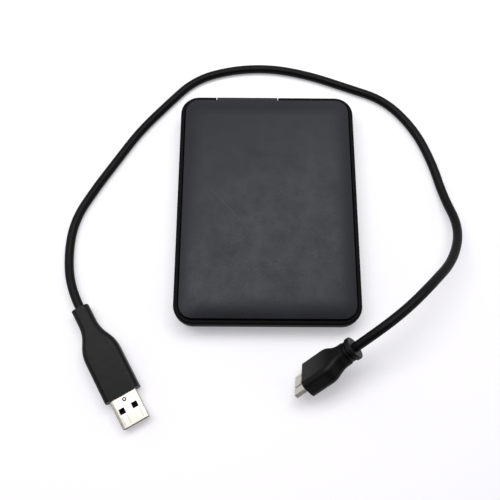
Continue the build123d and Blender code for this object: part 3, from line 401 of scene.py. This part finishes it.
class DRIVE_PG_stage(bpy.types.PropertyGroup):
    """Camera, floor and light"""

    lens: bpy.props.FloatProperty(
        name="Lens", description="Focal length on a 36 mm sensor",
        default=43.508, min=10.0, max=200.0, unit="CAMERA",
    )
    elevation: bpy.props.FloatProperty(
        name="Elevation", description="Angle of the camera above the floor",
        default=math.radians(72.674), subtype="ANGLE",
    )
    heading: bpy.props.FloatProperty(
        name="Heading", description="Turn of the camera about the upright",
        default=math.radians(-0.844), subtype="ANGLE",
    )
    roll: bpy.props.FloatProperty(
        name="Roll", description="Turn of the camera about its own axis",
        default=math.radians(1.162), subtype="ANGLE",
    )
    distance: bpy.props.FloatProperty(
        name="Distance", description="From the camera to its target",
        default=0.27995, unit="LENGTH", precision=4,
    )
    target: bpy.props.FloatVectorProperty(
        name="Target", description="Point on the floor in the middle of the picture",
        default=(-0.00772, -0.01825, 0.0), subtype="TRANSLATION", precision=4,
    )
    floor_colour: colour_property("Floor", "Colour of the floor", 0.78, 0.775, 0.79)
    glow_colour: colour_property("Floor glow", "Colour that the floor adds for the eye", 0.98, 0.965, 1.0)
    floor_glow: share_property("Glow level", "White that the floor adds for the eye", 0.31)
    room_colour: colour_property("Room", "Colour of the room's light", 0.975, 0.96, 1.0)
    room_light: share_property("Room light", "Light of the room on matt surfaces", 0.20)
    side_light: share_property("Side light", "Light that the room's left and right walls add", 1.0)
    room_ceiling: share_property("Ceiling", "Level of the ceiling in shiny surfaces", 0.50)
    room_shade: share_property("Room shade", "How dark the room is in front of the drive", 0.92)
    key_power: bpy.props.FloatProperty(
        name="Softbox power", description="Power of the long softbox",
        default=2.3, min=0.0, max=100.0, unit="POWER",
    )
    key_size: bpy.props.FloatVectorProperty(
        name="Softbox size", description="Length and width of the long softbox",
        default=(0.66, 0.23), size=2, min=0.05, max=5.0, unit="LENGTH",
    )
    key_place: bpy.props.FloatVectorProperty(
        name="Softbox place", description="Where the softbox hangs",
        default=(-0.04, 0.108, 0.50), subtype="TRANSLATION",
    )


class DRIVE_OT_cover(bpy.types.Operator):
    """Finish the cover plate in satin black"""

    bl_idname = "drive.cover"
    bl_label = "Cover plate"

    def execute(self, context):
        look = context.scene.drive_housing
        finish = Finish("plate_satin_black")
        fine = finish.grain(scale=2600.0, detail=3.0)
        cloud = finish.grain(scale=38.0, detail=5.0, roughness=0.6)
        smear = finish.grain(scale=70.0, detail=6.0, roughness=0.72)
        leather = finish.grain(scale=1400.0, detail=3.0, roughness=0.6)
        mark = finish.hairline(*PLATE_SCRATCH, SCRATCH_WIDTH)
        for line in PLATE_RUBS:
            mark = mark + RUB_DEPTH * finish.hairline(*line, RUB_WIDTH)
        dust = finish.specks(scale=150.0, size=0.035)
        worn = finish.wire.math("MINIMUM", MARK_SHARE * mark + DUST_SHARE * dust, 1.0)
        tone = finish.blend(cloud, *tones(look.plate_colour, dark=0.4, light=1.6))
        tone = finish.blend(LEATHER_SHARE * leather, tone, shade(look.plate_colour, LEATHER_TONE))
        tone = finish.blend(worn, tone, shade(look.plate_colour, WORN_TONE))
        rough = look.plate_roughness + swing(smear, SMEAR_SWING) + swing(leather, LEATHER_SWING)
        height = fine + MARK_RELIEF * mark + LEATHER_SHARE * leather
        normal = finish.bump(height, strength=0.14, distance=0.00003, normal=finish.eased(PLATE_LEAN))
        material = finish.set(
            Base_Color=tone, Roughness=rough - MARK_GLOSS * mark, Normal=normal,
            Specular_IOR_Level=0.33, Specular_Tint=PLATE_TINT,
        )
        dress(material, "top_cover")
        return {"FINISHED"}


class DRIVE_OT_tray(bpy.types.Operator):
    """Finish the bottom tray in half-gloss black"""

    bl_idname = "drive.tray"
    bl_label = "Bottom tray"

    def execute(self, context):
        look = context.scene.drive_housing
        finish = Finish("tray_half_gloss_black")
        cloud = finish.grain(scale=60.0, detail=3.0)
        smear = finish.grain(scale=120.0, detail=4.0)
        material = finish.set(
            Base_Color=finish.blend(cloud, *tones(look.tray_colour, dark=0.85, light=1.15)),
            Roughness=look.tray_roughness + swing(smear, TRAY_SWING),
            Normal=finish.bump(finish.grain(scale=3200.0), strength=0.08, distance=0.00002),
            Specular_IOR_Level=0.08,
        )
        dress(material, "bottom_tray")
        return {"FINISHED"}


class DRIVE_OT_feet(bpy.types.Operator):
    """Finish the rubber feet, bumpers, gasket and stops"""

    bl_idname = "drive.feet"
    bl_label = "Rubber parts"

    def execute(self, context):
        look = context.scene.drive_housing
        rubber = grained(
            "foot_rubber", tones(look.foot_colour, dark=0.8, light=1.3), roughness=(0.66, 0.82),
            grain=dict(scale=1500.0, detail=3.0), cloud=dict(scale=300.0),
            relief=dict(strength=0.2, distance=0.00004),
        )
        feet = [name for name in frame["nodes"] if name.startswith("rubber_foot_")]
        bumpers = [name for name in frame["nodes"] if name.startswith("bumper_") and "screw" not in name]
        dress(rubber, *feet, *bumpers, "lid_gasket", "crash_stops")
        return {"FINISHED"}


class DRIVE_OT_light_pipe(bpy.types.Operator):
    """Finish the light pipe and the status light"""

    bl_idname = "drive.light_pipe"
    bl_label = "Light pipe"

    def execute(self, context):
        frosted = grained(
            "light_pipe_frosted", PIPE_TONES, roughness=(0.30, 0.50), grain=dict(scale=900.0),
            Transmission_Weight=0.35, IOR=1.49,
        )
        dress(frosted, "light_pipe")
        resin = grained("light_resin", LIGHT_TONES, roughness=(0.35, 0.45), grain=dict(scale=1800.0))
        dress(resin, "status_led")
        return {"FINISHED"}


class DRIVE_OT_case(bpy.types.Operator):
    """Finish the inner drive's cast, rolled and turned metal"""

    bl_idname = "drive.case"
    bl_label = "Inner drive case"

    def execute(self, context):
        look = context.scene.drive_inner
        cast = grained(
            "cast_aluminium", tones(look.cast_colour, dark=0.8, light=1.1), roughness=(0.42, 0.62),
            grain=dict(scale=1400.0, detail=4.0, roughness=0.6), cloud=dict(scale=90.0, detail=3.0),
            relief=dict(strength=0.25, distance=0.00004), Metallic=1.0,
        )
        dress(cast, "base_casting", "actuator_arm", "platter_spacer")
        sheet = grained(
            "rolled_steel", tones(look.steel_colour, dark=0.85, light=1.08), roughness=(0.26, 0.44),
            grain=dict(scale=500.0, detail=3.0), stretch=ROLLED_LINES,
            relief=dict(strength=0.10, distance=0.00002), Metallic=1.0,
        )
        dress(sheet, "drive_lid", "upper_yoke", "lower_yoke", "head_suspensions", "stator_core")
        turned = grained(
            "turned_steel", tones(look.steel_colour, dark=0.8, light=1.05), roughness=(0.24, 0.40),
            grain=dict(scale=2500.0), Metallic=1.0,
        )
        screws = [name for name in frame["nodes"] if "screw" in name]
        shafts = ("spindle_sleeve", "spindle_hub", "disc_clamp", "pivot_shaft", "pivot_bearing")
        dress(turned, *screws, *shafts)
        return {"FINISHED"}


class DRIVE_OT_discs(bpy.types.Operator):
    """Finish the discs, magnets, windings and heads"""

    bl_idname = "drive.discs"
    bl_label = "Discs and motors"

    def execute(self, context):
        look = context.scene.drive_inner
        mirror = grained(
            "disc_mirror", DISC_TONES, roughness=(0.03, 0.07), grain=dict(scale=40.0), Metallic=1.0,
        )
        dress(mirror, "lower_platter", "upper_platter")
        plated = grained(
            "plated_magnet", MAGNET_TONES, roughness=(0.22, 0.37),
            grain=dict(scale=1200.0, detail=3.0), Metallic=1.0,
        )
        dress(plated, "upper_magnet", "lower_magnet", "rotor_magnet")
        winding = Finish("copper_winding")
        turns = winding.wire.node(
            "TexWave", {"wave_type": "BANDS", "bands_direction": "Z"},
            {"Vector": winding.place(), "Scale": 900.0, "Distortion": 0.6, "Detail": 1.0},
        )
        copper = winding.set(
            Base_Color=winding.blend(turns, *tones(look.copper_colour, dark=0.55, light=1.1)),
            Roughness=between(turns, 0.30, 0.40), Metallic=1.0,
            Normal=winding.bump(turns, strength=0.5, distance=0.00005),
        )
        dress(copper, "stator_coils", "voice_coil")
        ceramic = grained(
            "slider_ceramic", CERAMIC_TONES, roughness=(0.15, 0.25), grain=dict(scale=3000.0),
        )
        dress(ceramic, "head_sliders")
        return {"FINISHED"}


class DRIVE_OT_plastics(bpy.types.Operator):
    """Finish the ramp, the filter, the bracket and the flex lead inside"""

    bl_idname = "drive.plastics"
    bl_label = "Inner plastic parts"

    def execute(self, context):
        white = grained(
            "ramp_white_plastic", RAMP_TONES, roughness=(0.42, 0.54), grain=dict(scale=700.0, detail=3.0),
        )
        dress(white, "load_ramp")
        felt = grained(
            "filter_felt", FELT_TONES, roughness=(0.85, 0.95),
            grain=dict(scale=1600.0, detail=5.0, roughness=0.7), relief=dict(strength=0.6, distance=0.0002),
        )
        dress(felt, "air_filter")
        black = grained(
            "bracket_black_plastic", BRACKET_TONES, roughness=(0.45, 0.60), grain=dict(scale=1500.0),
        )
        dress(black, "flex_bracket", "usb_socket_tongue", "micro_b_insert")
        film = grained("amber_film", FILM_TONES, roughness=(0.25, 0.35), grain=dict(scale=800.0))
        dress(film, "head_flex")
        return {"FINISHED"}


class DRIVE_OT_board(bpy.types.Operator):
    """Finish the circuit board, its chips and the contacts"""

    bl_idname = "drive.board"
    bl_label = "Board and contacts"

    def execute(self, context):
        look = context.scene.drive_inner
        mask = Finish("board_mask")
        cells = mask.wire.node(
            "TexVoronoi", {"feature": "DISTANCE_TO_EDGE", "distance": "CHEBYCHEV"},
            {"Vector": mask.place(), "Scale": 420.0, "Randomness": 0.6},
        )
        clear = cells.band(*TRACK_EDGE)
        green = mask.set(
            Base_Color=mask.blend(clear, shade(look.board_colour, TRACK_TONE), look.board_colour),
            Roughness=between(mask.grain(scale=1500.0), 0.32, 0.44),
            Normal=mask.bump(clear, strength=0.2, distance=0.00003),
        )
        dress(green, "circuit_board")
        resin = grained(
            "chip_resin", CHIP_TONES, roughness=(0.5, 0.7), grain=dict(scale=2600.0, detail=3.0),
            relief=dict(strength=0.2, distance=0.00002),
        )
        dress(resin, "board_chips")
        gold = grained(
            "contact_gold", tones(look.gold_colour, dark=0.9, light=1.1), roughness=(0.22, 0.34),
            grain=dict(scale=2200.0), Metallic=1.0,
        )
        dress(gold, "usb_socket_contacts", "usb_a_contacts")
        return {"FINISHED"}


class DRIVE_OT_plugs(bpy.types.Operator):
    """Finish the plugs' grips and tongue, and the metal shells of plugs and socket"""

    bl_idname = "drive.plugs"
    bl_label = "Plugs"

    def execute(self, context):
        look = context.scene.drive_lead
        grip = grained(
            "grip_moulded_black", tones(look.grip_colour, dark=0.85, light=1.15), roughness=(0.30, 0.58),
            grain=dict(scale=1300.0, detail=3.0, roughness=0.65), cloud=dict(scale=110.0, detail=3.0),
            relief=dict(strength=0.45, distance=0.00010), Specular_IOR_Level=0.16,
        )
        dress(grip, "usb_a_overmould", "micro_b_overmould")
        dress(shell_plating(look.shell_colour), "usb_a_shell", "micro_b_shell", "usb_socket_shell")
        # Painted shade: the navy tongue is kept near black, standing in for the shade inside the shell
        navy = grained(
            "tongue_navy_with_painted_shade", tones(look.tongue_colour, dark=0.8, light=1.3), roughness=(0.50, 0.62),
            grain=dict(scale=900.0), Specular_IOR_Level=0.06,
        )
        dress(navy, "usb_a_tongue")
        return {"FINISHED"}


def shell_plating(colour):
    """Bright plating with drawn lines, wear lines on the big plug's shell, and painted shade along its
    rolled side and in its stamped ring.
    """
    shell = Finish("shell_bright_plating")
    drawn = shell.grain(scale=900.0, detail=3.0, at=shell.place(turn=PLUG_A_TURN, stretch=DRAWN_LINES))
    tone = shell.blend(drawn, *tones(colour, dark=0.93, light=1.05))
    # Painted shade: a dark line along the shell's rolled side edge
    side = shell.hairline(*SHELL_SIDE_SHADE, SIDE_SHADE_WIDTH)
    tone = shell.blend(SIDE_SHADE_SHARE * side, tone, shade(colour, SIDE_SHADE_TONE))
    for line in SHELL_LINES:
        tone = shell.blend(LINE_SHARE * shell.hairline(*line, LINE_WIDTH), tone, shade(colour, LINE_TONE))
    # Painted shade: a dark ring over the stamped dimple, wider than its recess
    spot = shell.place(centre=SHELL_RING, stretch=RING_PLAN)
    reach = shell.wire.node("VectorMath", {"operation": "LENGTH"}, {0: spot}, output="Value")
    ring = reach.band(*RING_OUTER_EDGE) * reach.band(*RING_INNER_EDGE)
    tone = shell.blend(ring, tone, shade(colour, RING_SHADE_TONE))
    return shell.set(
        Base_Color=tone, Roughness=between(drawn, 0.22, 0.36), Metallic=1.0,
        Normal=shell.bump(drawn, strength=0.06, distance=0.00002),
    )


class DRIVE_OT_cable(bpy.types.Operator):
    """Lay the cable along its points, as one smooth round line"""

    bl_idname = "drive.cable"
    bl_label = "Cable"

    def execute(self, context):
        look = context.scene.drive_lead
        line = bpy.data.curves.new("lead_cable", "CURVE")
        line.dimensions = "3D"
        spline = line.splines.new("NURBS")
        spline.points.add(len(LEAD_POINTS) - 1)
        for point, place in zip(spline.points, LEAD_POINTS):
            point.co = place + (1.0,)
        spline.order_u = 3
        spline.use_endpoint_u = True
        spline.resolution_u = CABLE_STEPS
        line.bevel_depth = look.cable_diameter / 2
        line.bevel_resolution = CABLE_SIDES
        line.use_fill_caps = True
        cable = bpy.data.objects.new("lead_cable", line)
        context.scene.collection.objects.link(cable)
        line.materials.append(grained(
            "jacket_satin_black", tones(look.jacket_colour, dark=0.8, light=1.2), roughness=(0.40, 0.52),
            grain=dict(scale=1900.0, detail=3.0), cloud=dict(scale=140.0, detail=3.0),
            relief=dict(strength=0.10, distance=0.00003), Specular_IOR_Level=0.12,
        ))
        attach(cable, "housing")
        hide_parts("cable")
        return {"FINISHED"}


class DRIVE_OT_stage(bpy.types.Operator):
    """Set the floor, the light and the camera"""

    bl_idname = "drive.stage"
    bl_label = "Floor, light and camera"

    def execute(self, context):
        look = context.scene.drive_stage
        scene = context.scene
        scene.view_settings.view_transform = "Standard"
        mesh = bpy.data.meshes.new("stage_floor")
        shape = bmesh.new()
        bmesh.ops.create_grid(shape, x_segments=1, y_segments=1, size=FLOOR_HALF_SIDE)
        shape.to_mesh(mesh)
        shape.free()
        mesh.materials.append(floor_paper(look))
        floor = bpy.data.objects.new("stage_floor", mesh)
        scene.collection.objects.link(floor)
        scene.world = studio_room(look)
        lamp = bpy.data.lights.new("overhead_softbox", "AREA")
        lamp.shape = "RECTANGLE"
        lamp.size, lamp.size_y = look.key_size
        lamp.energy = look.key_power
        light = bpy.data.objects.new("overhead_softbox", lamp)
        light.location = look.key_place
        light.rotation_euler = (-Vector(look.key_place)).to_track_quat("-Z", "Y").to_euler()
        scene.collection.objects.link(light)
        camera = bpy.data.objects.new("photo_camera", bpy.data.cameras.new("photo_camera"))
        camera.data.sensor_width = SENSOR_WIDTH
        camera.data.lens = look.lens
        camera.data.clip_start, camera.data.clip_end = CAMERA_RANGE
        camera.matrix_world = photo_view(look)
        scene.collection.objects.link(camera)
        scene.camera = camera
        return {"FINISHED"}


def eye_rays(wire):
    """1 for what the eye sees, straight on, in shiny parts or through clear ones, and otherwise 0."""
    seen = wire.node("LightPath", output="Is Camera Ray")
    shiny = wire.node("LightPath", output="Is Glossy Ray")
    through = wire.node("LightPath", output="Is Transmission Ray")
    return wire.math("MAXIMUM", wire.math("MAXIMUM", seen, shiny), through)


def floor_paper(look):
    """White paper that keeps shadows, and that the eye and shiny parts see a little whiter."""
    paper = bpy.data.materials.new("floor_paper")
    paper.use_nodes = True
    paper.node_tree.nodes.clear()
    wire = Wire(paper.node_tree)
    matt = wire.node("BsdfDiffuse", None, {"Color": look.floor_colour})
    level = eye_rays(wire) * look.floor_glow
    glow = wire.node("Emission", None, {"Color": look.glow_colour, "Strength": level})
    send_out("Material", wire.node("AddShader", None, {0: matt, 1: glow}))
    return paper


def studio_room(look):
    """A white room that is dim in front of the drive, and dimmer for matt surfaces than for the eye."""
    room = bpy.data.worlds.new("studio_room")
    room.use_nodes = True
    room.node_tree.nodes.clear()
    wire = Wire(room.node_tree)
    direction = wire.node("TexCoord", output="Generated")
    facing = wire.node(
        "VectorMath", {"operation": "DOT_PRODUCT"}, {0: direction, 1: SHADED_SIDE}, output="Value"
    )
    height = direction.part("Z")
    across = direction.part("X")
    dark = facing.band(*SHADE_EDGE, to_high=look.room_shade) * height.band(*HORIZON)
    ceiling = height.band(*CEILING, to_low=1.0, to_high=look.room_ceiling)
    matt = look.room_light + look.side_light * across * across
    white = matt + (ceiling - matt) * eye_rays(wire)
    strength = (1.0 - dark) * white
    send_out("World", wire.node("Background", None, {"Color": look.room_colour, "Strength": strength}))
    return room


def photo_view(look):
    """Camera place and direction from its elevation, heading, roll and target."""
    flat = math.cos(look.elevation)
    back = Vector((
        math.sin(look.heading) * flat, -math.cos(look.heading) * flat, math.sin(look.elevation),
    ))
    level = Vector((math.cos(look.heading), math.sin(look.heading), 0.0))
    above = back.cross(level)
    right = level * math.cos(look.roll) + above * math.sin(look.roll)
    up = above * math.cos(look.roll) - level * math.sin(look.roll)
    view = Matrix((right, up, back)).transposed().to_4x4()
    view.translation = Vector(look.target) + back * look.distance
    return view


class DRIVE_PT_panel(bpy.types.Panel):
    """Lists the steps that dress the drive"""

    bl_idname = "DRIVE_PT_panel"
    bl_label = "Pocket drive"
    bl_space_type = "VIEW_3D"
    bl_region_type = "UI"
    bl_category = "Pocket drive"

    def draw(self, context):
        for step in STEPS:
            self.layout.operator(step.bl_idname)
        for name in SETTINGS:
            box = self.layout.box()
            group = getattr(context.scene, name)
            for key in group.__annotations__:
                box.prop(group, key)


STEPS = (
    DRIVE_OT_cover, DRIVE_OT_tray, DRIVE_OT_feet, DRIVE_OT_light_pipe, DRIVE_OT_case, DRIVE_OT_discs,
    DRIVE_OT_plastics, DRIVE_OT_board, DRIVE_OT_plugs, DRIVE_OT_cable, DRIVE_OT_stage,
)
SETTINGS = {
    "drive_housing": DRIVE_PG_housing, "drive_inner": DRIVE_PG_inner,
    "drive_lead": DRIVE_PG_lead, "drive_stage": DRIVE_PG_stage,
}


def register():
    for kind in (*SETTINGS.values(), *STEPS, DRIVE_PT_panel):
        bpy.utils.register_class(kind)
    for name, kind in SETTINGS.items():
        setattr(bpy.types.Scene, name, bpy.props.PointerProperty(type=kind))


def unregister():
    for name in SETTINGS:
        delattr(bpy.types.Scene, name)
    for kind in (DRIVE_PT_panel, *reversed(STEPS), *reversed(tuple(SETTINGS.values()))):
        bpy.utils.unregister_class(kind)


def main():
    """Dress every piece in order."""
    for spare in [item for item in bpy.data.objects if item.name in SPARE_OBJECTS]:
        bpy.data.objects.remove(spare)
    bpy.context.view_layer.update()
    register()
    for step in STEPS:
        group, name = step.bl_idname.split(".")
        getattr(getattr(bpy.ops, group), name)()


if __name__ == "__main__":
    main()
